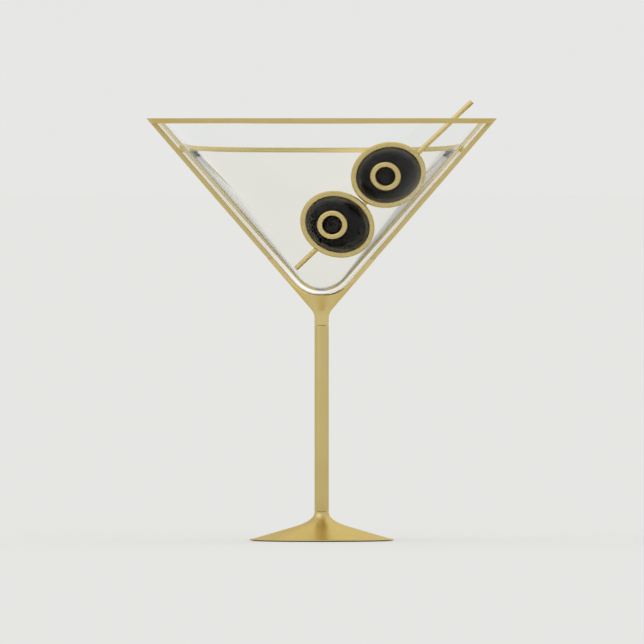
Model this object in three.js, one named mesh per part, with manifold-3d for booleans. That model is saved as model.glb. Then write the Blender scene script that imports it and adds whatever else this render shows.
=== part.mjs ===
// A martini glass: a gilt brass stand (foot, stem, forked yoke, two straps and two hoops) that cradles a
// removable conical glass liner, with a drink in it and a cocktail pick that carries two bezelled olives.
// Millimetres, +Z up. The origin is the centre of the foot's resting face. The pick leans in the XZ plane,
// and the pits of the olives open towards the front, -Y.

import * as THREE from "three";
import { mergeVertices } from "three/addons/utils/BufferGeometryUtils.js";
import Module from "manifold-3d";

const wasm = await Module();
wasm.setup();

// ---- Driving dimensions ---------------------------------------------------------------------------

const HEIGHT = 145; // resting face to the top of the rim hoop
const RIM_RADIUS = 60.2; // outside of the rim hoop
const HALF_ANGLE = THREE.MathUtils.degToRad(40.8); // the cone's wall against the vertical axis
const BAR = 1.75; // thickness of the straps and the rim hoop, square to the cone's wall
const SEAT_RADIUS = 12.3; // the rounded crotch of the yoke, tangent to the insides of the straps
const STEM_RADIUS = 2.45;
const LEVEL_HEIGHT = 134.1; // the drink's surface, and the middle of the level hoop

const GAP = 0.25; // the liner's play in the stand
const SEAM = 0.12; // a bonded or screwed seam between two pieces
const LINER_WALL = 1.6;
const DRINK_GAP = 0.3;
const TURNS = 60; // facets round the axis of every coaxial piece

const HUB_BOTTOM = 74; // where the stem's shoulder meets the yoke
const HORN_TOP = 97; // where each strap is brazed to a horn of the yoke
const HORN_HALF_WIDTH = 2.4;
const STRAP_TOP_HALF_WIDTH = 1.3;
const HOOP_END = -0.7; // the level hoop runs round the back from this Y, so it never crosses an olive
const STUD_RADIUS = 1.45; // the M3 ends of the stem
const STUD_BORE = 1.6;
const STUD_TOP = 81.3;
const FOOT_TOP = 9.9;
const FOOT_RADIUS = 24.7;
const FOOT_SLOPE = 0.2925;
const FOOT_SHOULDER = [20.2, 1.7]; // a point on the foot's straight slope, radius and height
const FOOT_BOTTOM = 0.3; // the metal stands this far off the table, on the pad
const PAD_RADIUS = 22;
const PAD_THICKNESS = 0.8;
const NUT_POCKET_RADIUS = 5.5;
const NUT_POCKET_TOP = 3.6;
const WASHER = { radius: 3.5, bottom: 2.97, top: 3.5 };
const NUT = { radius: 3.18, bottom: 1.12, top: 2.9 };
const CUSHION = { radius: 2.6, bottom: 82.7 };

const PICK_RADIUS = 0.84;
const PICK_TIP = new THREE.Vector3(-8.92, 0, 93.53); // just clear of the liner's left wall
const PICK_END = new THREE.Vector3(51.62, 0, 150.7);

// The two olives: centre, tilt of the long axis in the XZ plane, and where the pit shows beside the centre.
const OLIVES = [
  { name: "olive_upper", x: 22.93, z: 125.7, tilt: 15.5, pit: [-1.24, -0.53] },
  { name: "olive_lower", x: 5.41, z: 108.74, tilt: -22, pit: [-2.09, -0.18] },
];
const OLIVE_LONG = 13.0; // half axes of the outline in the XZ plane, over the bezel
const OLIVE_SHORT = 11.22;
const OLIVE_DEPTH = 11.6; // half depth along Y
const BEZEL_BAND = 1.8; // how wide the bezel shows from the front
const BEZEL_HALF_WIDTH = 1.9;
const BEZEL_CROWN = 7.5; // half axis along Y of the oval that the band's outside is cut from
const EYELET_OUTER = 5.07;
const EYELET_INNER = 3.24;
const EYELET_STRETCH = [1.038, 0.964]; // the pit is slightly oval
const PIT_DEPTH = 3.0;

// ---- The cone's lines ------------------------------------------------------------------------------

const RISE = Math.tan(HALF_ANGLE);

// Radius at height z of the cone that lies `inset` inside the outer one, measured square to the wall.
const coneRadius = (z, inset = 0) =>
  RIM_RADIUS - (HEIGHT - z) * RISE - inset / Math.cos(HALF_ANGLE);

// Height of the point of that cone.
const coneApex = (inset) => HEIGHT - (RIM_RADIUS - inset / Math.cos(HALF_ANGLE)) / RISE;

const SEAT_CENTRE = coneApex(BAR) + SEAT_RADIUS / Math.sin(HALF_ANGLE);
const CONE_CORNER = HEIGHT - (RIM_RADIUS - STEM_RADIUS) / RISE; // where the cone's line meets the stem's

const OUTER = BAR + GAP; // insets of the liner's two faces
const INNER = OUTER + LINER_WALL;

// Profile of a round-bottomed cone, from the axis up its wall to height `top`.
function roundBottomed(inset, top, steps) {
  const radius = SEAT_RADIUS - (inset - BAR);
  const points = [];
  for (let i = 0; i <= steps; i++) {
    const angle = ((Math.PI / 2 - HALF_ANGLE) * i) / steps;
    points.push([radius * Math.sin(angle), SEAT_CENTRE - radius * Math.cos(angle)]);
  }
  points.push([coneRadius(top, inset), top]);
  return points;
}

// Points of a quadratic curve, both ends included.
const curve = (from, corner, to, steps) =>
  new THREE.QuadraticBezierCurve(
    new THREE.Vector2(...from),
    new THREE.Vector2(...corner),
    new THREE.Vector2(...to),
  )
    .getPoints(steps)
    .map((p) => [p.x, p.y]);

// ---- Solids ----------------------------------------------------------------------------------------

// A closed geometry as a solid, moved by `matrix` first.
function solidOf(geometry, matrix = new THREE.Matrix4()) {
  const bare = new THREE.BufferGeometry();
  bare.setAttribute("position", geometry.getAttribute("position").clone());
  bare.setIndex(geometry.getIndex());
  bare.applyMatrix4(matrix);
  const merged = mergeVertices(bare, 1e-4);
  const corners = merged.getIndex().array;
  const triVerts = [];
  for (let i = 0; i < corners.length; i += 3) {
    const [a, b, c] = corners.slice(i, i + 3);
    if (a !== b && b !== c && c !== a) triVerts.push(a, b, c);
  }
  return new wasm.Manifold(
    new wasm.Mesh({
      numProp: 3,
      vertProperties: new Float32Array(merged.getAttribute("position").array),
      triVerts: new Uint32Array(triVerts),
    }),
  );
}

function geometryOf(solid) {
  const mesh = solid.getMesh();
  const geometry = new THREE.BufferGeometry();
  geometry.setAttribute("position", new THREE.BufferAttribute(mesh.vertProperties, mesh.numProp));
  geometry.setIndex(new THREE.BufferAttribute(mesh.triVerts, 1));
  geometry.computeVertexNormals();
  return geometry;
}

const profileArea = (points) =>
  points.reduce((sum, [r, z], i) => {
    const [r2, z2] = points[(i + 1) % points.length];
    return sum + r * z2 - r2 * z;
  }, 0);

// A solid of revolution about Z from [radius, height] pairs. The outline closes on itself.
function turned(points, segments = TURNS) {
  const outline = profileArea(points) > 0 ? points : [...points].reverse();
  const closed = [...outline, outline[0]].map(([r, z]) => new THREE.Vector2(r, z));
  return solidOf(
    new THREE.LatheGeometry(closed, segments),
    new THREE.Matrix4().makeRotationX(Math.PI / 2),
  );
}

const drum = (radius, bottom, top, segments = TURNS) =>
  turned(
    [
      [0, bottom],
      [radius, bottom],
      [radius, top],
      [0, top],
    ],
    segments,
  );

const tube = (inner, outer, bottom, top, segments = TURNS) =>
  turned(
    [
      [inner, bottom],
      [outer, bottom],
      [outer, top],
      [inner, top],
    ],
    segments,
  );

// A flat outline of [across, height] pairs, extruded `reach` each way along Y, or along X when `side`.
function plate(points, reach, side = false) {
  const shape = new THREE.Shape(points.map(([a, z]) => new THREE.Vector2(a, z)));
  const geometry = new THREE.ExtrudeGeometry(shape, { depth: 2 * reach, bevelEnabled: false });
  geometry.translate(0, 0, -reach);
  const stand = new THREE.Matrix4().makeRotationX(Math.PI / 2);
  const turn = new THREE.Matrix4().makeRotationZ(side ? Math.PI / 2 : 0);
  return solidOf(geometry, turn.multiply(stand));
}

// A rod between two points.
function rod(from, to, radius, segments) {
  const length = from.distanceTo(to);
  const direction = to.clone().sub(from).normalize();
  const turn = new THREE.Quaternion().setFromUnitVectors(new THREE.Vector3(0, 1, 0), direction);
  const middle = from.clone().lerp(to, 0.5);
  const matrix = new THREE.Matrix4().compose(middle, turn, new THREE.Vector3(1, 1, 1));
  return solidOf(new THREE.CylinderGeometry(radius, radius, length, segments), matrix);
}

// ---- Materials -------------------------------------------------------------------------------------

const material = (colour, roughness, metalness, opacity = 1) =>
  new THREE.MeshStandardMaterial({
    color: colour,
    roughness,
    metalness,
    opacity,
    transparent: opacity < 1,
  });

const gilt = material(0xc2af73, 0.32, 1);
const clearGlass = material(0xf4f6f2, 0.03, 0, 0.3);
const cocktail = material(0xf1e9cc, 0.02, 0, 0.35);
const enamel = material(0x131313, 0.18, 0);
const steel = material(0xb9bcc0, 0.35, 1);
const silicone = material(0xd8d8d2, 0.6, 0);
const felt = material(0x1c1b1a, 0.95, 0);

function piece(name, solid, finish, parent) {
  const mesh = new THREE.Mesh(geometryOf(solid), finish);
  mesh.name = name;
  parent.add(mesh);
  return mesh;
}

// ---- Stand -----------------------------------------------------------------------------------------

// The gap that the two straps and the yoke leave, seen from the front: straight sides and a round bottom.
function forkGap() {
  const arc = roundBottomed(BAR, HEIGHT + 10, 12);
  const mirrored = arc.slice(1).map(([r, z]) => [-r, z]);
  return plate([...arc, ...mirrored.reverse()], 2 * RIM_RADIUS);
}

// The fork's side outline: as wide as the hub below, drawn in to the straps along a leaf's edge.
function forkSide() {
  const hubHalfWidth = coneRadius(SEAT_CENTRE - SEAT_RADIUS);
  const leaf = curve(
    [hubHalfWidth + 0.2, SEAT_CENTRE - SEAT_RADIUS - 0.6],
    [HORN_HALF_WIDTH + 0.4, SEAT_CENTRE - SEAT_RADIUS + 1.8],
    [HORN_HALF_WIDTH, HORN_TOP],
    8,
  );
  const right = [[hubHalfWidth + 0.2, 0], ...leaf, [STRAP_TOP_HALF_WIDTH, HEIGHT]];
  const left = [...right].reverse().map(([y, z]) => [-y, z]);
  return plate([...right, ...left], 2 * RIM_RADIUS, true);
}

// The fork in one piece: the cone's outside and the stem's, less the gap, within the side outline.
function forkBlank() {
  const blend = curve(
    [STEM_RADIUS, CONE_CORNER - 1.6],
    [STEM_RADIUS, CONE_CORNER],
    [coneRadius(CONE_CORNER + 1.4), CONE_CORNER + 1.4],
    6,
  );
  const outside = turned([
    [0, HUB_BOTTOM],
    [STEM_RADIUS, HUB_BOTTOM],
    ...blend,
    [coneRadius(HEIGHT), HEIGHT],
    [0, HEIGHT],
  ]);
  return outside.intersect(forkSide()).subtract(forkGap());
}

// A conical hoop of the wall, `inset` to `inset + thickness` square to it, between two heights.
const hoop = (inset, thickness, bottom, top) =>
  turned([
    [coneRadius(bottom, inset + thickness), bottom],
    [coneRadius(bottom, inset), bottom],
    [coneRadius(top, inset), top],
    [coneRadius(top, inset + thickness), top],
  ]);

function addStand(root) {
  const stand = new THREE.Group();
  root.add(stand);

  const fork = forkBlank();
  const socket = drum(STUD_BORE, HUB_BOTTOM - 1, STUD_TOP + 0.3, 24);
  const cushionPocket = drum(CUSHION.radius + SEAM, CUSHION.bottom - SEAM, HORN_TOP, 24);
  const hub = fork
    .intersect(drum(RIM_RADIUS, HUB_BOTTOM - 1, HORN_TOP - SEAM / 2, 8))
    .subtract(socket)
    .subtract(cushionPocket);
  piece("yoke", hub, gilt, stand);

  const cushion = drum(CUSHION.radius, CUSHION.bottom, HORN_TOP, 24).intersect(
    plate(
      [
        [-CUSHION.radius - 1, CUSHION.bottom - 1],
        [CUSHION.radius + 1, CUSHION.bottom - 1],
        [CUSHION.radius + 1, SEAT_CENTRE - SEAT_RADIUS + GAP / 2],
        [-CUSHION.radius - 1, SEAT_CENTRE - SEAT_RADIUS + GAP / 2],
      ],
      SEAT_RADIUS,
    ),
  );
  piece("liner_cushion", cushion, silicone, stand);

  const levelHalf = 0.83;
  const hoopThickness = 0.9;
  const levelInset = BAR - hoopThickness;
  const notch = hoop(
    levelInset - SEAM,
    hoopThickness + 2 * SEAM,
    LEVEL_HEIGHT - levelHalf - SEAM,
    LEVEL_HEIGHT + levelHalf + SEAM,
  ).trimByPlane([0, 1, 0], HOOP_END - SEAM);
  const rimBottom = HEIGHT - BAR;
  const strapZone = drum(2 * RIM_RADIUS, HORN_TOP + SEAM / 2, rimBottom - SEAM, 8);
  const straps = fork.intersect(strapZone).subtract(notch).decompose();
  for (const strap of straps) {
    const onRight = strap.boundingBox().max[0] > 0;
    piece(onRight ? "strap_right" : "strap_left", strap, gilt, stand);
  }
  const levelRing = hoop(
    levelInset,
    hoopThickness,
    LEVEL_HEIGHT - levelHalf,
    LEVEL_HEIGHT + levelHalf,
  );
  piece("level_hoop", levelRing.trimByPlane([0, 1, 0], HOOP_END), gilt, stand);
  piece("rim_hoop", hoop(0, BAR, rimBottom, HEIGHT), gilt, stand);

  piece(
    "stem",
    turned(
      [
        [0, NUT.bottom],
        [STUD_RADIUS, NUT.bottom],
        [STUD_RADIUS, FOOT_TOP + SEAM],
        [STEM_RADIUS, FOOT_TOP + SEAM],
        [STEM_RADIUS, HUB_BOTTOM - SEAM],
        [STUD_RADIUS, HUB_BOTTOM - SEAM],
        [STUD_RADIUS, STUD_TOP],
        [0, STUD_TOP],
      ],
      TURNS / 2,
    ),
    gilt,
    stand,
  );

  const slopeAt = (r) => FOOT_SHOULDER[1] + FOOT_SLOPE * (FOOT_SHOULDER[0] - r);
  const footNeck = curve(
    [STEM_RADIUS, FOOT_TOP],
    [STEM_RADIUS, slopeAt(STEM_RADIUS)],
    [9.5, slopeAt(9.5)],
    7,
  );
  piece(
    "foot",
    turned([
      [STUD_BORE, FOOT_TOP],
      ...footNeck,
      [23.3, slopeAt(23.3)],
      [FOOT_RADIUS - 0.15, 0.66],
      [FOOT_RADIUS, 0.55],
      [FOOT_RADIUS, FOOT_BOTTOM + 0.1],
      [FOOT_RADIUS - 0.1, FOOT_BOTTOM],
      [PAD_RADIUS + SEAM, FOOT_BOTTOM],
      [PAD_RADIUS + SEAM, PAD_THICKNESS + SEAM],
      [NUT_POCKET_RADIUS, PAD_THICKNESS + SEAM],
      [NUT_POCKET_RADIUS, NUT_POCKET_TOP],
      [STUD_BORE, NUT_POCKET_TOP],
    ]),
    gilt,
    stand,
  );
  piece("washer", tube(STUD_BORE, WASHER.radius, WASHER.bottom, WASHER.top, 36), steel, stand);
  const nutBlank = drum(NUT.radius, NUT.bottom, NUT.top, 6);
  const nutBore = drum(STUD_BORE, NUT.bottom - 1, NUT.top + 1, 36);
  piece("nut", nutBlank.subtract(nutBore), steel, stand);
  piece("foot_pad", drum(PAD_RADIUS, 0, PAD_THICKNESS), felt, stand);
}

// ---- Liner and drink -------------------------------------------------------------------------------

function addLiner(root) {
  const liner = new THREE.Group();
  root.add(liner);
  const lipBase = HEIGHT - 1.1;
  const outside = roundBottomed(OUTER, lipBase, 6);
  const inside = roundBottomed(INNER, lipBase, 6).reverse();
  const lip = [0.3, 0.5, 0.7].map((share) => {
    const inset = OUTER + LINER_WALL * share;
    const height = lipBase + 0.85 * Math.sin(Math.PI * share);
    return [coneRadius(height, inset), height];
  });
  piece("glass_liner", turned([...outside, ...lip, ...inside]), clearGlass, liner);

  const filled = turned([...roundBottomed(INNER + DRINK_GAP, LEVEL_HEIGHT, 6), [0, LEVEL_HEIGHT]]);
  const clearOf = OLIVES.map(({ x, z, tilt }) => {
    const matrix = oliveMatrix(x, z, tilt);
    return oval(
      OLIVE_LONG + DRINK_GAP,
      OLIVE_SHORT + DRINK_GAP,
      OLIVE_DEPTH + 2,
      24,
      12,
      matrix,
    );
  });
  clearOf.push(rod(PICK_TIP, PICK_END, PICK_RADIUS + DRINK_GAP, 12));
  const drink = clearOf.reduce((left, tool) => left.subtract(tool), filled);
  piece("drink", drink, cocktail, liner);
}

// ---- Pick and olives -------------------------------------------------------------------------------

const oliveMatrix = (x, z, tilt) =>
  new THREE.Matrix4()
    .makeTranslation(x, 0, z)
    .multiply(new THREE.Matrix4().makeRotationY(-THREE.MathUtils.degToRad(tilt)));

// An ellipsoid with its poles along Y: half axes along X, Z and Y.
function oval(alongX, alongZ, alongY, around, down, matrix = new THREE.Matrix4()) {
  const stretch = new THREE.Matrix4().makeScale(alongX, alongY, alongZ);
  return solidOf(new THREE.SphereGeometry(1, around, down), matrix.clone().multiply(stretch));
}

// A ring or disc about the pit's own axis. Heights run from the olive's centre out through the pit.
function pitTurned(points, pitMatrix) {
  const outline = profileArea(points) > 0 ? points : [...points].reverse();
  const closed = [...outline, outline[0]].map(([r, h]) => new THREE.Vector2(r, h));
  const stretch = new THREE.Matrix4().makeScale(EYELET_STRETCH[0], 1, EYELET_STRETCH[1]);
  return solidOf(new THREE.LatheGeometry(closed, 28), pitMatrix.clone().multiply(stretch));
}

function addOlive(root, { name, x, z, tilt, pit }) {
  const olive = new THREE.Group();
  olive.position.set(x, 0, z);
  olive.rotation.y = -THREE.MathUtils.degToRad(tilt);
  root.add(olive);
  const toOlive = oliveMatrix(x, z, tilt).invert();

  // The pick's hole, in the olive's own frame.
  const pickHole = rod(
    PICK_TIP.clone().applyMatrix4(toOlive),
    PICK_END.clone().applyMatrix4(toOlive),
    PICK_RADIUS + 0.14,
    20,
  );

  // The pit's axis points from the olive's centre at the place where the pit shows.
  const showing = new THREE.Vector3(pit[0], -OLIVE_DEPTH, pit[1]).transformDirection(
    new THREE.Matrix4().makeRotationY(THREE.MathUtils.degToRad(tilt)),
  );
  const pitMatrix = new THREE.Matrix4().makeRotationFromQuaternion(
    new THREE.Quaternion().setFromUnitVectors(new THREE.Vector3(0, 1, 0), showing),
  );

  const coreLong = OLIVE_LONG - BEZEL_BAND - SEAM;
  const coreShort = OLIVE_SHORT - BEZEL_BAND - SEAM;
  const pitFloor = OLIVE_DEPTH - PIT_DEPTH;
  const pocket = pitTurned(
    [
      [0, pitFloor],
      [EYELET_OUTER + SEAM, pitFloor],
      [EYELET_OUTER + SEAM, OLIVE_DEPTH + 5],
      [0, OLIVE_DEPTH + 5],
    ],
    pitMatrix,
  );
  const core = oval(coreLong, coreShort, OLIVE_DEPTH, 32, 16);
  piece(`${name}_body`, core.subtract(pocket).subtract(pickHole), enamel, olive);

  const outer = oval(OLIVE_LONG, OLIVE_SHORT, BEZEL_CROWN, 36, 16);
  const inner = solidOf(
    new THREE.CylinderGeometry(1, 1, 10, 36),
    new THREE.Matrix4().makeScale(coreLong + SEAM, 1, coreShort + SEAM),
  );
  const bandSlab = solidOf(new THREE.BoxGeometry(40, 2 * BEZEL_HALF_WIDTH, 40));
  piece(
    `${name}_bezel`,
    outer.intersect(bandSlab).subtract(inner).subtract(pickHole),
    gilt,
    olive,
  );

  const eyeletTop = OLIVE_DEPTH - 0.9;
  piece(
    `${name}_eyelet`,
    pitTurned(
      [
        [EYELET_INNER, pitFloor + SEAM],
        [EYELET_OUTER, pitFloor + SEAM],
        [EYELET_OUTER, eyeletTop - 0.5],
        [EYELET_OUTER - 0.45, eyeletTop],
        [EYELET_INNER + 0.45, eyeletTop],
        [EYELET_INNER, eyeletTop - 0.5],
      ],
      pitMatrix,
    ),
    gilt,
    olive,
  );
  const plug = EYELET_INNER - SEAM;
  piece(
    `${name}_pimento`,
    pitTurned(
      [
        [0, pitFloor + SEAM],
        [plug, pitFloor + SEAM],
        [plug, eyeletTop - 0.95],
        [plug * 0.6, eyeletTop - 0.45],
        [0, eyeletTop - 0.25],
      ],
      pitMatrix,
    ),
    enamel,
    olive,
  );
}

function addGarnish(root) {
  const garnish = new THREE.Group();
  root.add(garnish);
  piece("pick", rod(PICK_TIP, PICK_END, PICK_RADIUS, 20), gilt, garnish);
  for (const olive of OLIVES) addOlive(garnish, olive);
}

// ---- The whole glass -------------------------------------------------------------------------------

const martiniGlass = new THREE.Group();
addStand(martiniGlass);
addLiner(martiniGlass);
addGarnish(martiniGlass);

export default martiniGlass;
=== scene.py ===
"""A martini glass: gilt stand with straps and hoops, clear liner, drink, and two olives on a pick."""

import math

import bmesh
import bpy
from mathutils import Matrix, Vector


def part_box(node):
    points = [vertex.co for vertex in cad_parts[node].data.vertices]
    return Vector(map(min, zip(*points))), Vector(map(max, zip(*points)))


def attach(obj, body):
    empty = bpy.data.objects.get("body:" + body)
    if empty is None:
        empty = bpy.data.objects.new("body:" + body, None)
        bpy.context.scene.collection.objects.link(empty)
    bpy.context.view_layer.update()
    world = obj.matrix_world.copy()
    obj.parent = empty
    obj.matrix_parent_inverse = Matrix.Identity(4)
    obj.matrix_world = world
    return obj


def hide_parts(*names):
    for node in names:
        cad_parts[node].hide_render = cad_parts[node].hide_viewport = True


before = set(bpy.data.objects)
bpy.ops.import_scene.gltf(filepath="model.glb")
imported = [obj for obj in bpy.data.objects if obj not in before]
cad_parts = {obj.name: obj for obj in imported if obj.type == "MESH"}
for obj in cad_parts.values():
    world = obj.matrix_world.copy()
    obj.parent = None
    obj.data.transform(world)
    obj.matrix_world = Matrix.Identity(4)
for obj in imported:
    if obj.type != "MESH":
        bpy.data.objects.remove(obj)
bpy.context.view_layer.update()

MM = 0.001
TAU = 2 * math.pi

# ---- Sizes, in millimetres. Heights and radii come from the CAD nodes' boxes ---------------------


def node_box(node):
    """A CAD node's lowest and highest corners, in millimetres."""
    low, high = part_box(node)
    return low / MM, high / MM


RIM_LOW, RIM_HIGH = node_box("rim_hoop")
LEVEL_LOW, LEVEL_HIGH = node_box("level_hoop")
STEM_LOW, STEM_HIGH = node_box("stem")
FOOT_LOW, FOOT_HIGH = node_box("foot")
PAD_LOW, PAD_HIGH = node_box("foot_pad")
YOKE_LOW, YOKE_HIGH = node_box("yoke")
LINER_HIGH = node_box("glass_liner")[1]
DRINK_HIGH = node_box("drink")[1]
PICK_LOW, PICK_HIGH = node_box("pick")
CUSHION_LOW, CUSHION_HIGH = node_box("liner_cushion")

HEIGHT = RIM_HIGH.z
RIM_RADIUS = RIM_HIGH.x
HALF_ANGLE = math.radians(40.8)  # between the cone's wall and its axis
BAR = RIM_HIGH.z - RIM_LOW.z  # thickness of every strap and of the rim hoop
SEAM = 0.12  # play between two parts that are joined

FOOT_SLOPE = 0.2925  # fall per millimetre outwards
FOOT_SHOULDER = (20.2, 1.7)  # radius and height of a point on the straight slope
FOOT_NECK_RADIUS = 9.5  # the neck's curve runs out into the slope here
FOOT_SLOPE_END = 23.3
NUT_POCKET = (5.5, 3.6)  # radius and height of the hollow for the nut
FOOT_BORE = 1.6

STEM_RADIUS = STEM_HIGH.x
STUD_RADIUS = 1.45

SEAT_RADIUS = 12.3  # the round bottom of the fork
HUB_BLEND = (1.6, 1.4)  # how far the curve from stem to cone reaches down and up
HORN_TOP = YOKE_HIGH.z
HORN_HALF_WIDTH = 2.4
STRAP_TOP_HALF_WIDTH = 1.3
STRAP_EDGE = 0.22  # rounding of a strap's long edges
STRAP_SEAM = 0.05  # bevel at the foot of a strap, where it meets the horn
LEVEL_THICKNESS = 0.9

GAP = 0.25  # between the stand and the liner
LINER_WALL = 1.6
DRINK_GAP = 0.06
MENISCUS_CLIMB = 0.05
MENISCUS_WIDTH = 2.4
MENISCUS_FALL = 4.48  # how fast the climb dies out over that width

PICK_RADIUS = 0.84
PICK_HOLE_RADIUS = PICK_RADIUS + 0.14

# tilt in degrees of the long axis, and the pit's place in front of the centre, across and up
OLIVES = {
    "olive_upper": {"tilt": 15.5, "pit": (-1.24, -0.53)},
    "olive_lower": {"tilt": -22, "pit": (-2.09, -0.18)},
}
OLIVE_LONG, OLIVE_SHORT = 13.0, 11.22  # half the outline's length and width, with the bezel
BEZEL_BAND = 1.8
BEZEL_SEAM = 0.02  # the resin fills its bezel
BEZEL_HALF_WIDTH = 1.9
BEZEL_WALL_SHARE = 0.78  # flat part of the band's thickness; the rest is its crown
EYELET_OUTER, EYELET_INNER = 5.07, 3.24
EYELET_STRETCH = (1.038, 0.964)  # the ring is a slight oval
EYELET_SUNK = 0.9  # below the olive's full depth
PIT_DEPTH = 3.0  # of its floor, below the olive's full depth

RISE = math.tan(HALF_ANGLE)
OUTER_FACE = BAR + GAP
INNER_FACE = OUTER_FACE + LINER_WALL


def cone_radius(z, inset=0.0):
    """Radius at height z of the cone that lies inset inside the outermost one, square to the wall."""
    return RIM_RADIUS - (HEIGHT - z) * RISE - inset / math.cos(HALF_ANGLE)


def cone_apex(inset):
    """Height of the point of that cone."""
    return HEIGHT - (RIM_RADIUS - inset / math.cos(HALF_ANGLE)) / RISE


SEAT_CENTRE = cone_apex(BAR) + SEAT_RADIUS / math.sin(HALF_ANGLE)
SEAT_BOTTOM = SEAT_CENTRE - SEAT_RADIUS
CONE_CORNER = HEIGHT - (RIM_RADIUS - STEM_RADIUS) / RISE  # where the cone's side meets the stem's


def slope_height(r):
    """Height of the foot's straight slope at a radius."""
    return FOOT_SHOULDER[1] + FOOT_SLOPE * (FOOT_SHOULDER[0] - r)


def smooth_step(start, end, value):
    """0 at start and 1 at end, level at both."""
    t = min(max((value - start) / (end - start), 0), 1)
    return t * t * (3 - 2 * t)


# ---- Profiles ------------------------------------------------------------------------------------


def bezier(start, corner, end, steps):
    """Points of a quadratic curve from start to end, both included."""
    a, b, c = Vector(start), Vector(corner), Vector(end)
    return [
        tuple(a * (1 - t) ** 2 + b * 2 * t * (1 - t) + c * t * t)
        for t in (i / steps for i in range(steps + 1))
    ]


def rounded(points, radius, steps=4, closed=True):
    """The outline with each corner turned into a short arc. radius is a number, or one per corner."""
    radii = radius if isinstance(radius, (list, tuple)) else [radius] * len(points)
    out = []
    last = len(points) - 1
    for i, p in enumerate(points):
        if radii[i] <= 0 or (not closed and i in (0, last)):
            out.append(tuple(p))
            continue
        p = Vector(p)
        before, after = Vector(points[i - 1]), Vector(points[(i + 1) % len(points)])
        u, v = (before - p).normalized(), (after - p).normalized()
        turn = math.pi - u.angle(v)
        if turn < 0.02:
            out.append(tuple(p))
            continue
        reach = radii[i] * math.tan(turn / 2)
        reach = min(reach, 0.45 * (before - p).length, 0.45 * (after - p).length)
        out += bezier(p + u * reach, p, p + v * reach, steps)
    return out


def round_bottom(inset, top, steps=24):
    """Profile of a round-bottomed cone from the axis up its wall to height top."""
    radius = SEAT_RADIUS - (inset - BAR)
    points = []
    for i in range(steps + 1):
        a = (math.pi / 2 - HALF_ANGLE) * i / steps
        points.append((radius * math.sin(a), SEAT_CENTRE - radius * math.cos(a)))
    start = points[steps][1]
    wall_shares = (0.01, 0.03, 0.1, 0.25, 0.4, 0.55, 0.7, 0.85, 0.94, 0.98, 0.995, 1)
    for share in wall_shares:
        z = start + (top - start) * share
        points.append((cone_radius(z, inset), z))
    return points


# ---- Mesh building -------------------------------------------------------------------------------


SHARP_EDGE = math.radians(40)
ON_AXIS = 1e-6


def add_object(name, bm, material):
    """The bmesh, in millimetres, as an object in metres with outward normals and sharp edges marked."""
    bmesh.ops.remove_doubles(bm, verts=bm.verts, dist=1e-4)
    bmesh.ops.recalc_face_normals(bm, faces=bm.faces)
    for face in bm.faces:
        face.smooth = True
    for edge in bm.edges:
        edge.smooth = len(edge.link_faces) != 2 or edge.calc_face_angle(0) < SHARP_EDGE
    bm.transform(Matrix.Scale(MM, 4))
    mesh = bpy.data.meshes.new(name)
    bm.to_mesh(mesh)
    bm.free()
    obj = bpy.data.objects.new(name, mesh)
    bpy.context.collection.objects.link(obj)
    mesh.materials.append(material)
    return obj


def ring_mesh(rows, closed_rows=False):
    """A bmesh skinned over rows of points. Each row is a closed loop, or one point, a pole."""
    bm = bmesh.new()
    made = [[bm.verts.new(p) for p in row] for row in rows]
    pairs = list(zip(made, made[1:]))
    if closed_rows:
        pairs.append((made[-1], made[0]))
    for low, high in pairs:
        count = max(len(low), len(high))
        for i in range(count):
            j = (i + 1) % count
            below = [low[i % len(low)], low[j % len(low)]]
            above = [high[j % len(high)], high[i % len(high)]]
            corners = list(dict.fromkeys(below + above))
            if len(corners) > 2:
                bm.faces.new(corners)
    return bm


def lathe(profile, segments, closed=False):
    """A bmesh of revolution about Z. An open profile starts and ends on the axis."""
    turn = [TAU * i / segments for i in range(segments)]
    rows = []
    for r, z in profile:
        if r < ON_AXIS:
            rows.append([(0, 0, z)])
        else:
            rows.append([(r * math.cos(a), r * math.sin(a), z) for a in turn])
    return ring_mesh(rows, closed)


def sweep(sections):
    """A bmesh skinned over sections, each a list of points, closed at both ends."""
    bm = ring_mesh(sections)
    bm.verts.ensure_lookup_table()
    count = len(sections[0])
    bm.faces.new([bm.verts[i] for i in range(count)])
    bm.faces.new([bm.verts[len(bm.verts) - count + i] for i in range(count)])
    return bm


def prism(outline, reach, side=False):
    """A bmesh of a flat [across, height] outline pushed reach each way along Y, or along X if side."""
    place = (lambda a, z, d: (d, a, z)) if side else (lambda a, z, d: (a, d, z))
    return sweep([[place(a, z, d) for a, z in outline] for d in (-reach, reach)])


def apply_modifiers(obj):
    """Turns the object's modifiers into its mesh."""
    bpy.context.view_layer.update()
    graph = bpy.context.evaluated_depsgraph_get()
    mesh = bpy.data.meshes.new_from_object(obj.evaluated_get(graph))
    obj.modifiers.clear()
    obj.data = mesh


def boolean(obj, bm, operation):
    """Cuts obj with the bmesh, or keeps what they share."""
    tool = add_object("tool", bm, obj.data.materials[0])
    cut = obj.modifiers.new("cut", "BOOLEAN")
    cut.operation = operation
    cut.solver = "EXACT"
    cut.object = tool
    apply_modifiers(obj)
    bpy.data.objects.remove(tool)


def soften(obj, voxel):
    """Rounds every edge of a cut solid a little, as casting and polishing do."""
    remesh = obj.modifiers.new("remesh", "REMESH")
    remesh.mode = "VOXEL"
    remesh.voxel_size = voxel * MM
    remesh.use_smooth_shade = True
    smooth = obj.modifiers.new("smooth", "SMOOTH")
    smooth.factor = 0.5
    smooth.iterations = 2
    apply_modifiers(obj)


def finish_piece(obj, body, node):
    """Puts the piece on its body in the place of its CAD node."""
    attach(obj, body)
    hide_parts(node)


# ---- Materials -----------------------------------------------------------------------------------


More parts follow.
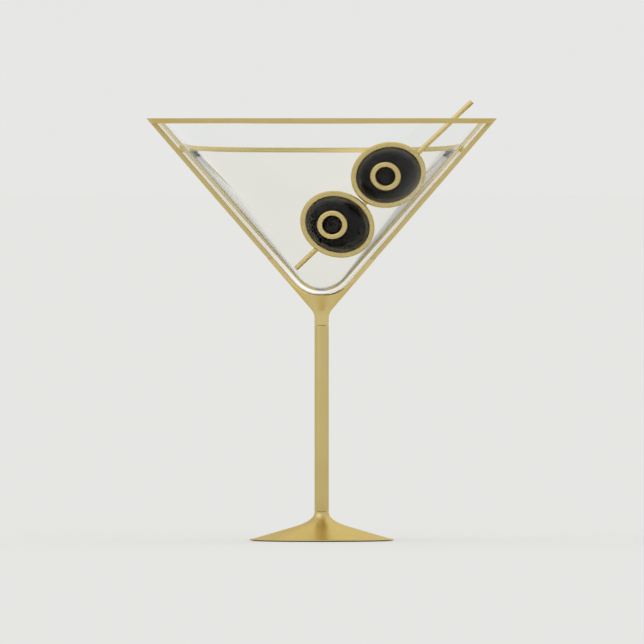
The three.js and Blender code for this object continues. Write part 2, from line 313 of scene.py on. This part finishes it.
class Shader:
    """A node material around one Principled shader, with short ways to add detail to it."""

    def __init__(self, name, colour, roughness, metallic=0.0, **sockets):
        self.material = bpy.data.materials.new(name)
        self.material.use_nodes = True
        tree = self.material.node_tree
        self.nodes, self.links = tree.nodes, tree.links
        self.shader = self.nodes["Principled BSDF"]
        self.shader.inputs["Base Color"].default_value = (*colour, 1)
        self.shader.inputs["Roughness"].default_value = roughness
        self.shader.inputs["Metallic"].default_value = metallic
        for socket, value in sockets.items():
            self.shader.inputs[socket.replace("_", " ")].default_value = value
        self.position = self.nodes.new("ShaderNodeTexCoord").outputs["Object"]

    def noise(self, scale, detail=3.0, stretch=(1, 1, 1), rotation=(0, 0, 0), rough=0.5):
        """Noise over the piece's own space. Scale is in features per metre, stretched per axis."""
        place = self.nodes.new("ShaderNodeMapping")
        place.vector_type = "TEXTURE"
        place.inputs["Scale"].default_value = [1 / x for x in stretch]
        place.inputs["Rotation"].default_value = rotation
        self.links.new(self.position, place.inputs["Vector"])
        noise = self.nodes.new("ShaderNodeTexNoise")
        noise.inputs["Scale"].default_value = scale
        noise.inputs["Detail"].default_value = detail
        noise.inputs["Roughness"].default_value = rough
        self.links.new(place.outputs["Vector"], noise.inputs["Vector"])
        return noise.outputs["Fac"]

    def remap(self, value, low, high, start=0.0, end=1.0):
        """The value with low to high stretched to start to end."""
        node = self.nodes.new("ShaderNodeMapRange")
        node.inputs["From Min"].default_value = low
        node.inputs["From Max"].default_value = high
        node.inputs["To Min"].default_value = start
        node.inputs["To Max"].default_value = end
        self.links.new(value, node.inputs["Value"])
        return node.outputs["Result"]

    def mix(self, factor, a, b):
        """Colour a to b by factor. a and b are colours or sockets."""
        node = self.nodes.new("ShaderNodeMix")
        node.data_type = "RGBA"
        self.links.new(factor, node.inputs["Factor"])
        for socket, value in ((node.inputs[6], a), (node.inputs[7], b)):
            if isinstance(value, tuple):
                socket.default_value = (*value, 1)
            else:
                self.links.new(value, socket)
        return node.outputs[2]

    def calculate(self, operation, a, b):
        """The result of a Math node. a and b are sockets or numbers."""
        node = self.nodes.new("ShaderNodeMath")
        node.operation = operation
        for socket, value in zip(node.inputs, (a, b)):
            if isinstance(value, float):
                socket.default_value = value
            else:
                self.links.new(value, socket)
        return node.outputs["Value"]

    def set(self, socket, value):
        self.links.new(value, self.shader.inputs[socket])

    def bump(self, height, strength, distance, under=None):
        """Relief that follows height, distance metres deep, on top of the relief under it."""
        node = self.nodes.new("ShaderNodeBump")
        node.inputs["Strength"].default_value = strength
        node.inputs["Distance"].default_value = distance
        self.links.new(height, node.inputs["Height"])
        if under is not None:
            self.links.new(under, node.inputs["Normal"])
        self.links.new(node.outputs["Normal"], self.shader.inputs["Normal"])
        return node.outputs["Normal"]

    def surface(self, factor, a, b):
        """Makes the material's surface a mix of two shaders."""
        node = self.nodes.new("ShaderNodeMixShader")
        self.links.new(factor, node.inputs["Fac"])
        self.links.new(a, node.inputs[1])
        self.links.new(b, node.inputs[2])
        self.links.new(node.outputs["Shader"], self.nodes["Material Output"].inputs["Surface"])


GOLD = (0.640, 0.512, 0.222)
GOLD_DEEP = (0.610, 0.480, 0.200)
GOLD_PALE = (0.670, 0.545, 0.255)
GOLD_AT_GRAZING = (0.85, 0.74, 0.46, 1)


def gilt(name, stretch, rotation=(0, 0, 0), roughness=0.34, shade=1.0):
    """Satin gilding: fine brushing one way, cloudy wear in the sheen, a few soft handling marks."""
    gold, deep, pale = (tuple(shade * c for c in colour) for colour in (GOLD, GOLD_DEEP, GOLD_PALE))
    s = Shader(name, gold, roughness, 1.0)
    s.shader.inputs["Specular Tint"].default_value = GOLD_AT_GRAZING
    brushing = s.noise(900, 4, stretch, rotation, 0.65)
    clouds = s.noise(60, 3)
    marks = s.noise(420, 5, rough=0.7)
    tone = s.mix(s.remap(clouds, 0.35, 0.65), deep, pale)
    s.set("Base Color", s.mix(s.remap(brushing, 0.3, 0.7), tone, gold))
    brushed = s.remap(brushing, 0.3, 0.7, roughness - 0.07, roughness + 0.05)
    s.set("Roughness", s.calculate("ADD", brushed, s.remap(marks, 0.5, 0.75, 0.0, 0.12)))
    s.bump(brushing, 0.2, 0.00001, s.bump(marks, 0.08, 0.00002))
    return s.material


GILT_TURNED = gilt("gilt_turned", (0.05, 0.05, 8))
GILT_CAST = gilt("gilt_cast", (1, 1, 1), roughness=0.36, shade=1.12)
GILT_STRAP_LEFT = gilt("gilt_strap_left", (1, 7, 0.05), (0, -HALF_ANGLE, 0))
GILT_STRAP_RIGHT = gilt("gilt_strap_right", (1, 7, 0.05), (0, HALF_ANGLE, 0))
GILT_FINE = gilt("gilt_fine", (3, 3, 3), roughness=0.28, shade=1.04)


def black_resin(name, freckles):
    """Polished black resin with a faint olive-skin mottle, pores and soft polishing haze."""
    s = Shader(name, (0.006, 0.006, 0.007), 0.16, Specular_IOR_Level=0.10)
    mottle = s.noise(240, 3)
    pores = s.noise(900, 1)
    haze = s.noise(110, 2)
    tone = s.mix(s.remap(mottle, 0.4, 0.7), (0.004, 0.004, 0.005), (0.012, 0.011, 0.011))
    s.set("Base Color", s.mix(s.remap(pores, 0.66, 0.76), tone, freckles))
    s.set("Roughness", s.remap(haze, 0.3, 0.7, 0.13, 0.26))
    s.bump(pores, 0.05, 0.00003, s.bump(mottle, 0.1, 0.0001))
    return s.material


OLIVE_BLACK = black_resin("olive_black", (0.035, 0.033, 0.028))
PIMENTO_BLACK = black_resin("pimento_black", (0.030, 0.020, 0.018))


def clear_glass():
    """Thin clear glass with faint smears, which doesn't block the lamps.

    Shadow rays pass as through a clear tint. Light that has been reflected inside the wall three
    times leaves it the same way, so the lip stays bright.
    """
    clear, smeared = (0.990, 0.995, 0.992), (0.970, 0.980, 0.975)
    s = Shader("clear_glass", clear, 0.0, Transmission_Weight=1.0, IOR=1.08)
    smears = s.noise(45, 4, rough=0.6)
    s.set("Base Color", s.mix(s.remap(smears, 0.45, 0.75), clear, smeared))
    passing = s.nodes.new("ShaderNodeBsdfTransparent")
    passing.inputs["Color"].default_value = (0.96, 0.975, 0.965, 1)
    path = s.nodes.new("ShaderNodeLightPath")
    trapped = s.calculate("GREATER_THAN", path.outputs["Glossy Depth"], 2.5)
    through = s.calculate("MAXIMUM", path.outputs["Is Shadow Ray"], trapped)
    s.surface(through, s.shader.outputs["BSDF"], passing.outputs["BSDF"])
    return s.material


def cocktail():
    """The drink: a clear straw tint, shining at its surfaces, that doesn't bend the view through it."""
    polish = 0.02
    s = Shader("cocktail", (1, 1, 1), polish)
    passing = s.nodes.new("ShaderNodeBsdfTransparent")
    passing.inputs["Color"].default_value = (0.990, 0.983, 0.958, 1)
    shine = s.nodes.new("ShaderNodeBsdfGlossy")
    shine.inputs["Roughness"].default_value = polish
    fresnel = s.nodes.new("ShaderNodeFresnel")
    fresnel.inputs["IOR"].default_value = 1.06
    ripples = s.nodes.new("ShaderNodeBump")
    ripples.inputs["Strength"].default_value = 0.1
    ripples.inputs["Distance"].default_value = 0.0003
    s.links.new(s.noise(60, 2), ripples.inputs["Height"])
    for node in (fresnel, shine):
        s.links.new(ripples.outputs["Normal"], node.inputs["Normal"])
    s.surface(fresnel.outputs["Fac"], passing.outputs["BSDF"], shine.outputs["BSDF"])
    s.nodes.remove(s.shader)
    return s.material


def felt():
    s = Shader("felt", (0.02, 0.02, 0.02), 0.95, Sheen_Weight=0.4, Sheen_Roughness=0.5)
    fibres = s.noise(2500, 5, rough=0.8)
    shade = s.remap(fibres, 0.3, 0.7)
    s.set("Base Color", s.mix(shade, (0.012, 0.012, 0.012), (0.045, 0.043, 0.04)))
    s.bump(fibres, 0.9, 0.0002)
    return s.material


def silicone():
    s = Shader("silicone", (0.62, 0.63, 0.60), 0.5, Subsurface_Weight=0.2)
    s.shader.inputs["Subsurface Radius"].default_value = (0.002, 0.002, 0.002)
    grain = s.noise(900, 3)
    s.set("Roughness", s.remap(grain, 0.3, 0.7, 0.42, 0.62))
    s.bump(grain, 0.3, 0.00005)
    return s.material


def zinc():
    s = Shader("zinc", (0.56, 0.57, 0.58), 0.34, 1.0)
    turning = s.noise(1500, 3, (1, 1, 0.2))
    s.set("Base Color", s.mix(s.remap(turning, 0.3, 0.7), (0.48, 0.49, 0.5), (0.62, 0.63, 0.65)))
    s.set("Roughness", s.remap(turning, 0.3, 0.7, 0.25, 0.45))
    s.bump(turning, 0.3, 0.00003)
    return s.material


GLASS = clear_glass()
COCKTAIL = cocktail()
FELT = felt()
SILICONE = silicone()
ZINC = zinc()

# ---- Stand ---------------------------------------------------------------------------------------


def make_foot():
    """A low cone with a hollow-sided neck and a thin edge, recessed underneath for the pad and nut."""
    top = FOOT_HIGH.z
    radius = FOOT_HIGH.x
    bottom = FOOT_LOW.z
    pad_edge = PAD_HIGH.x + SEAM
    recess = PAD_HIGH.z + SEAM
    pocket_radius, pocket_top = NUT_POCKET
    neck = bezier(
        (STEM_RADIUS, top),
        (STEM_RADIUS, slope_height(STEM_RADIUS)),
        (FOOT_NECK_RADIUS, slope_height(FOOT_NECK_RADIUS)),
        24,
    )
    steps = 10
    run = FOOT_SLOPE_END - FOOT_NECK_RADIUS
    slope = []
    for i in range(1, steps + 1):
        r = FOOT_NECK_RADIUS + run * i / steps
        slope.append((r, slope_height(r)))
    brim = [(radius - 0.12, 0.67), (radius, 0.55), (radius, bottom + 0.1), (radius - 0.1, bottom)]
    edge = rounded([slope[-1], *brim], 0.25, closed=False)
    under = [
        (pad_edge, bottom),
        (pad_edge, recess),
        (pocket_radius, recess),
        (pocket_radius, pocket_top),
        (FOOT_BORE, pocket_top),
        (FOOT_BORE, top),
    ]
    profile = neck + slope + edge[1:] + under
    foot = add_object("foot_turned", lathe(profile, 224, closed=True), GILT_TURNED)
    finish_piece(foot, "stand", "foot")


def make_stem():
    """A rod with a stud at each end."""
    low, high = FOOT_HIGH.z + SEAM, YOKE_LOW.z - SEAM
    outline = [
        (0, STEM_LOW.z),
        (STUD_RADIUS, STEM_LOW.z),
        (STUD_RADIUS, low),
        (STEM_RADIUS, low),
        (STEM_RADIUS, high),
        (STUD_RADIUS, high),
        (STUD_RADIUS, STEM_HIGH.z),
        (0, STEM_HIGH.z),
    ]
    stud_edge, shoulder_edge = 0.2, 0.12
    radii = [0, stud_edge, 0, shoulder_edge, shoulder_edge, 0, stud_edge, 0]
    profile = rounded(outline, radii, 3, closed=False)
    stem = add_object("stem_turned", lathe(profile, 96), GILT_TURNED)
    finish_piece(stem, "stand", "stem")


def fork_gap_outline():
    """The round-bottomed gap between the fork's horns, carried on well above the rim."""
    arc = round_bottom(BAR, HEIGHT + 10, 32)
    return arc + [(-r, z) for r, z in reversed(arc[1:])]


def horn_outline():
    """The fork seen from the side: wide at the hub, narrowing in a soft curve to the horns."""
    hub = cone_radius(SEAT_BOTTOM) + 0.2
    leaf = bezier(
        (hub, SEAT_BOTTOM - 0.6),
        (HORN_HALF_WIDTH + 0.4, SEAT_BOTTOM + 1.8),
        (HORN_HALF_WIDTH, HORN_TOP),
        20,
    )
    right = [(hub, 0), *leaf, (HORN_HALF_WIDTH, HORN_TOP + 5)]
    return right + [(-y, z) for y, z in reversed(right)]


def strap_half_width(z):
    """Half the width of a strap at height z: it narrows from the horn to the rim."""
    share = (z - HORN_TOP) / (HEIGHT - HORN_TOP)
    return HORN_HALF_WIDTH + (STRAP_TOP_HALF_WIDTH - HORN_HALF_WIDTH) * share


def make_yoke():
    """The fork's hub and horns, cut from a turned blank as its pattern would be, with soft edges."""
    blend_top = CONE_CORNER + HUB_BLEND[1]
    blend = bezier(
        (STEM_RADIUS, CONE_CORNER - HUB_BLEND[0]),
        (STEM_RADIUS, CONE_CORNER),
        (cone_radius(blend_top), blend_top),
        12,
    )
    low, high = YOKE_LOW.z, HORN_TOP
    outside = [(0, low), (STEM_RADIUS, low), *blend, (cone_radius(high), high), (0, high)]
    yoke = add_object("yoke_cast", lathe(outside, 192), GILT_CAST)
    past_everything = 2 * RIM_RADIUS
    boolean(yoke, prism(horn_outline(), past_everything, side=True), "INTERSECT")
    boolean(yoke, prism(fork_gap_outline(), past_everything), "DIFFERENCE")
    pocket_radius, pocket_floor = CUSHION_HIGH.x + SEAM, CUSHION_LOW.z - SEAM
    pocket = [(0, pocket_floor), (pocket_radius, pocket_floor), (pocket_radius, high), (0, high)]
    boolean(yoke, lathe(pocket, 64), "DIFFERENCE")
    soften(yoke, 0.13)
    finish_piece(yoke, "stand", "yoke")


def make_strap(name, side, material):
    """A strap along the cone from the yoke's horn to the rim hoop, tapered, with rounded edges.

    Its outer face bends round the cone and its inner face is flat.
    """
    low, high = HORN_TOP + 0.02, RIM_LOW.z + 0.04
    sections = []
    steps = 48
    for i in range(steps + 1):
        z = low + (high - low) * i / steps
        trim = STRAP_SEAM if i == 0 else 0
        half = strap_half_width(z) - trim
        outer, inner = trim, BAR - trim
        outline = [(-half, outer), (half, outer), (half, inner), (-half, inner)]
        section = []
        for y, inset in rounded(outline, STRAP_EDGE):
            radius = cone_radius(z)
            crown = radius - math.sqrt(radius**2 - y * y) if inset < BAR / 2 else 0
            section.append((side * (cone_radius(z, inset) - crown), y, z))
        sections.append(section)
    strap = add_object(name + "_rolled", sweep(sections), material)
    finish_piece(strap, "stand", name)


def hoop_profile(inset, thickness, low, high, radii):
    """Section of a conical hoop from height low to high, inset inside the outermost cone."""
    corners = [
        (cone_radius(low, inset + thickness), low),
        (cone_radius(low, inset), low),
        (cone_radius(high, inset), high),
        (cone_radius(high, inset + thickness), high),
    ]
    return rounded(corners, radii)


def make_rim_hoop():
    profile = hoop_profile(0, BAR, RIM_LOW.z, RIM_HIGH.z, [0.1, 0.1, 0.1, 0.25])
    hoop = add_object("rim_hoop_turned", lathe(profile, 256, closed=True), GILT_TURNED)
    finish_piece(hoop, "stand", "rim_hoop")


def make_level_hoop():
    """Half a hoop round the back, with its ends let into the straps."""
    inset = BAR - LEVEL_THICKNESS
    profile = hoop_profile(inset, LEVEL_THICKNESS, LEVEL_LOW.z, LEVEL_HIGH.z, 0.25)
    start = math.asin(LEVEL_LOW.y / LEVEL_HIGH.x)
    steps = 160
    sections = []
    for i in range(steps + 1):
        a = start + (math.pi - 2 * start) * i / steps
        sections.append([(r * math.cos(a), r * math.sin(a), z) for r, z in profile])
    hoop = add_object("level_hoop_rolled", sweep(sections), GILT_TURNED)
    finish_piece(hoop, "stand", "level_hoop")


def make_foot_pad():
    radius, low, high = PAD_HIGH.x, PAD_LOW.z, PAD_HIGH.z
    profile = rounded([(0, low), (radius, low), (radius, high), (0, high)], 0.2, 3, closed=False)
    pad = add_object("foot_pad_felt", lathe(profile, 160), FELT)
    finish_piece(pad, "stand", "foot_pad")


def make_cushion():
    """A pad whose top is dished to the liner's round bottom."""
    radius, low = CUSHION_HIGH.x, CUSHION_LOW.z
    seat = SEAT_RADIUS - GAP / 2
    chamfer = 0.2
    steps = 8
    rings = [radius * (steps - i) / steps for i in range(steps + 1)]
    dish = [(r, SEAT_CENTRE - math.sqrt(seat**2 - r**2)) for r in rings]
    profile = [(0, low), (radius - chamfer, low), (radius, low + chamfer), *dish]
    cushion = add_object("cushion_moulded", lathe(profile, 64), SILICONE)
    finish_piece(cushion, "stand", "liner_cushion")


def plate_fasteners():
    """The washer and nut keep their CAD shapes and take the zinc."""
    for node in ("washer", "nut"):
        bpy.data.objects[node].material_slots[0].material = ZINC


# ---- Liner and drink -----------------------------------------------------------------------------


def make_liner():
    """The cone of glass, with a fire-polished lip that is half round."""
    lip_base = LINER_HIGH.z - LINER_WALL / 2
    outside = round_bottom(OUTER_FACE, lip_base)
    inside = list(reversed(round_bottom(INNER_FACE, lip_base)))
    lip = []
    steps = 10
    for i in range(1, steps):
        a = math.pi * i / steps
        share = (1 - math.cos(a)) / 2
        z = lip_base + (LINER_HIGH.z - lip_base) * math.sin(a)
        lip.append((cone_radius(z, OUTER_FACE + LINER_WALL * share), z))
    liner = add_object("liner_blown", lathe(outside + lip + inside, 480), GLASS)
    finish_piece(liner, "liner", "glass_liner")


def make_drink():
    """The drink fills the liner to the level and climbs a little where it meets the glass."""
    level = DRINK_HIGH.z
    side = round_bottom(INNER_FACE + DRINK_GAP, level + MENISCUS_CLIMB)
    edge = side[-1][0]
    meniscus = []
    steps = 12
    for i in range(1, steps + 1):
        share = i / steps
        climb = MENISCUS_CLIMB * math.exp(-MENISCUS_FALL * share)
        meniscus.append((edge - MENISCUS_WIDTH * share, level + climb))
    surface = [(edge * share, level) for share in (0.8, 0.6, 0.4, 0.2, 0)]
    drink = add_object("drink_poured", lathe(side + meniscus + surface, 192), COCKTAIL)
    finish_piece(drink, "liner", "drink")


# ---- Pick and olives -----------------------------------------------------------------------------

PICK_LEAN = math.atan2(PICK_HIGH.z - PICK_LOW.z, PICK_HIGH.x - PICK_LOW.x)
PICK_AXIS = Vector((math.cos(PICK_LEAN), 0, math.sin(PICK_LEAN)))
PICK_MIDDLE = (PICK_LOW + PICK_HIGH) / 2
PICK_HALF_REACH = (PICK_HIGH.x - PICK_LOW.x) / 2
PICK_HALF = (PICK_HALF_REACH - PICK_RADIUS * math.sin(PICK_LEAN)) / math.cos(PICK_LEAN)


def along_pick(bm):
    """Turns a bmesh built along Z so that it lies along the pick, centred on it."""
    turn = Vector((0, 0, 1)).rotation_difference(PICK_AXIS).to_matrix().to_4x4()
    bm.transform(Matrix.Translation(PICK_MIDDLE) @ turn)
    return bm


def rod(radius, half):
    """Profile of a rod along Z."""
    return [(0, -half), (radius, -half), (radius, half), (0, half)]


def make_pick():
    profile = rounded(rod(PICK_RADIUS, PICK_HALF), 0.1, 3, closed=False)
    pick = add_object("pick_drawn", along_pick(lathe(profile, 48)), GILT_FINE)
    finish_piece(pick, "pick", "pick")


def pick_hole():
    """The hole that the pick passes through, as a cutting tool."""
    return along_pick(lathe(rod(PICK_HOLE_RADIUS, 2 * PICK_HALF), 40))


class Olive:
    """One olive: its frame, its ellipsoid and the axis that its pit opens along."""

    def __init__(self, name, tilt, pit):
        low, high = node_box(name + "_bezel")
        self.name = name
        self.centre = Vector(((low.x + high.x) / 2, 0, (low.z + high.z) / 2))
        self.depth = node_box(name + "_body")[1].y
        turn = math.radians(tilt)
        self.long = Vector((math.cos(turn), 0, math.sin(turn)))
        self.short = Vector((-math.sin(turn), 0, math.cos(turn)))
        self.core = (OLIVE_LONG - BEZEL_BAND - BEZEL_SEAM, OLIVE_SHORT - BEZEL_BAND - BEZEL_SEAM)
        self.pit = Vector((pit[0], -self.depth, pit[1])).normalized()
        self.across = (Vector((1, 0, 0)) - self.pit * self.pit.x).normalized()
        self.up = self.across.cross(self.pit)

    def radius(self, direction):
        """Distance from the centre to the skin along a direction."""
        a = direction.dot(self.long) / self.core[0]
        b = direction.dot(self.short) / self.core[1]
        c = direction.y / self.depth
        return 1 / math.sqrt(a * a + b * b + c * c)

    def on_pit(self, angle, radius, height):
        """A point on the pit's slight oval, at a height along its axis from the olive's centre."""
        across = self.across * math.cos(angle) * EYELET_STRETCH[0]
        up = self.up * math.sin(angle) * EYELET_STRETCH[1]
        return self.centre + (across + up) * radius + self.pit * height

    def around_pit(self, profile, segments, closed=False):
        """A bmesh of revolution about the pit's axis."""
        rows = []
        for r, h in profile:
            if r < ON_AXIS:
                rows.append([self.on_pit(0, 0, h)])
            else:
                rows.append([self.on_pit(TAU * i / segments, r, h) for i in range(segments)])
        return ring_mesh(rows, closed)

    def make_body(self):
        """The olive's skin: an ovoid with a well for its pit in front and a dimple behind."""
        well_top, well_foot, well_depth = EYELET_OUTER + 0.25, EYELET_OUTER - 0.5, 1.35
        lip_dip, lip_spread = 0.25, 2.2
        dimple_depth, dimple_spread = 0.25, 2.0
        rings, segments = 110, 144
        front, back = self.pit, -self.pit
        rows = [[self.centre + front * (self.radius(front) - well_depth - lip_dip)]]
        for i in range(1, rings):
            theta = math.pi * i / rings
            in_front = theta < math.pi / 2
            row = []
            for j in range(segments):
                phi = TAU * j / segments
                out = self.across * math.cos(phi) + self.up * math.sin(phi)
                direction = self.pit * math.cos(theta) + out * math.sin(theta)
                r = self.radius(direction)
                lateral = r * math.sin(theta)
                if in_front:
                    dip = smooth_step(well_top, well_foot, lateral) * well_depth
                    dip += lip_dip * math.exp(-(((lateral - EYELET_OUTER) / lip_spread) ** 2))
                else:
                    dip = -dimple_depth * math.exp(-((lateral / dimple_spread) ** 2))
                row.append(self.centre + direction * r - self.pit * dip)
            rows.append(row)
        rows.append([self.centre + back * (self.radius(back) - dimple_depth)])
        body = add_object(self.name + "_skin", ring_mesh(rows), OLIVE_BLACK)
        boolean(body, pick_hole(), "DIFFERENCE")
        finish_piece(body, self.name, self.name + "_body")

    def make_bezel(self):
        """A crowned gold band round the olive's outline, in the pick's plane."""
        inner = (self.core[0] + BEZEL_SEAM, self.core[1] + BEZEL_SEAM)
        thick = (OLIVE_LONG - inner[0], OLIVE_SHORT - inner[1])
        half, wall = BEZEL_HALF_WIDTH, BEZEL_WALL_SHARE
        crown = []
        crown_steps = 12
        for i in range(1, crown_steps):
            a = math.pi * i / crown_steps
            crown.append((half * math.cos(a), wall + (1 - wall) * math.sin(a)))
        section = [(-half, 0.0), (half, 0.0), (half, wall), *crown, (-half, wall)]
        section = rounded(section, [0.1, 0.1, 0.15] + [0] * len(crown) + [0.15], 3)
        steps = 160
        sections = []
        for i in range(steps):
            a = TAU * i / steps
            row = []
            for y, share in section:
                x = (inner[0] + thick[0] * share) * math.cos(a)
                z = (inner[1] + thick[1] * share) * math.sin(a)
                row.append(self.centre + self.long * x + self.short * z + Vector((0, y, 0)))
            sections.append(row)
        bezel = add_object(self.name + "_band", ring_mesh(sections, closed_rows=True), GILT_FINE)
        boolean(bezel, pick_hole(), "DIFFERENCE")
        finish_piece(bezel, self.name, self.name + "_bezel")

    def make_pit(self):
        """The eyelet, rounded on top, and the pimento, a dome inside it with a dimple."""
        floor = self.depth - PIT_DEPTH + SEAM
        top = self.depth - EYELET_SUNK
        inner, outer = EYELET_INNER, EYELET_OUTER
        corners = [(inner, floor), (outer, floor), (outer, top), (inner, top)]
        ring = rounded(corners, [0.1, 0.1, 0.7, 0.7], 8)
        eyelet = add_object(self.name + "_ring", self.around_pit(ring, 96, closed=True), GILT_FINE)
        finish_piece(eyelet, self.name, self.name + "_eyelet")
        plug = inner - SEAM
        shoulder = top - 1.25
        dome_height, dimple_depth, dimple_spread = 0.95, 0.35, 0.9
        dome = [(0, floor), (plug, floor), (plug, shoulder)]
        steps = 15
        for i in range(1, steps + 1):
            a = math.pi / 2 * i / steps
            r = plug * math.cos(a) if i < steps else 0
            dimple = dimple_depth * math.exp(-((r / dimple_spread) ** 2))
            dome.append((r, shoulder + dome_height * math.sin(a) - dimple))
        pimento = add_object(self.name + "_plug", self.around_pit(dome, 72), PIMENTO_BLACK)
        finish_piece(pimento, self.name, self.name + "_pimento")


# ---- Everything ----------------------------------------------------------------------------------

make_foot()
make_stem()
make_yoke()
make_strap("strap_left", -1, GILT_STRAP_LEFT)
make_strap("strap_right", 1, GILT_STRAP_RIGHT)
make_rim_hoop()
make_level_hoop()
make_foot_pad()
make_cushion()
plate_fasteners()
make_liner()
make_drink()
make_pick()
for olive_name, facts in OLIVES.items():
    olive = Olive(olive_name, **facts)
    olive.make_body()
    olive.make_bezel()
    olive.make_pit()

# ---- Floor, light and camera ---------------------------------------------------------------------

FLOOR_HALF_WIDTH = 60  # metres
SUN_SPREAD = math.radians(60)

floor_mesh = bmesh.new()
bmesh.ops.create_grid(floor_mesh, x_segments=1, y_segments=1, size=FLOOR_HALF_WIDTH / MM)
floor_shader = Shader("floor", (0.845, 0.845, 0.834), 0.9, Specular_IOR_Level=0.0)
floor = add_object("floor", floor_mesh, floor_shader.material)


def soft_sun(name, towards, strength):
    """A far, broad lamp that lights the whole floor evenly."""
    data = bpy.data.lights.new(name, "SUN")
    data.energy = strength
    data.angle = SUN_SPREAD
    lamp = bpy.data.objects.new(name, data)
    bpy.context.collection.objects.link(lamp)
    lamp.rotation_mode = "QUATERNION"
    lamp.rotation_quaternion = Vector(towards).to_track_quat("-Z", "Y")


soft_sun("key", (0.75, 0.55, -1.0), 0.40)
soft_sun("back", (-0.4, -0.9, -0.9), 0.20)

world = bpy.data.worlds.new("studio")
bpy.context.scene.world = world
world.use_nodes = True
sky = world.node_tree.nodes["Background"]
sky.inputs["Color"].default_value = (0.80, 0.80, 0.79, 1)
sky.inputs["Strength"].default_value = 1.0

CAMERA_DISTANCE = 8.0  # metres, like every length from here on
CAMERA_HEIGHT = 0.135
VIEW_WIDTH = 0.22105  # what the picture's width spans at the glass
VIEW_CENTRE = Vector((0.00012, 0.0, 0.0751))
SENSOR = 36.0  # millimetres, as Blender has it

camera_data = bpy.data.cameras.new("camera")
camera = bpy.data.objects.new("camera", camera_data)
bpy.context.collection.objects.link(camera)
camera_data.sensor_width = SENSOR
camera_data.lens = SENSOR * CAMERA_DISTANCE / VIEW_WIDTH
camera_data.clip_start = 0.1
camera_data.clip_end = 200
camera.location = (VIEW_CENTRE.x, -CAMERA_DISTANCE, CAMERA_HEIGHT)
camera.rotation_mode = "QUATERNION"
camera.rotation_quaternion = (VIEW_CENTRE - camera.location).to_track_quat("-Z", "Y")
bpy.context.scene.camera = camera
bpy.context.scene.view_settings.view_transform = "Standard"
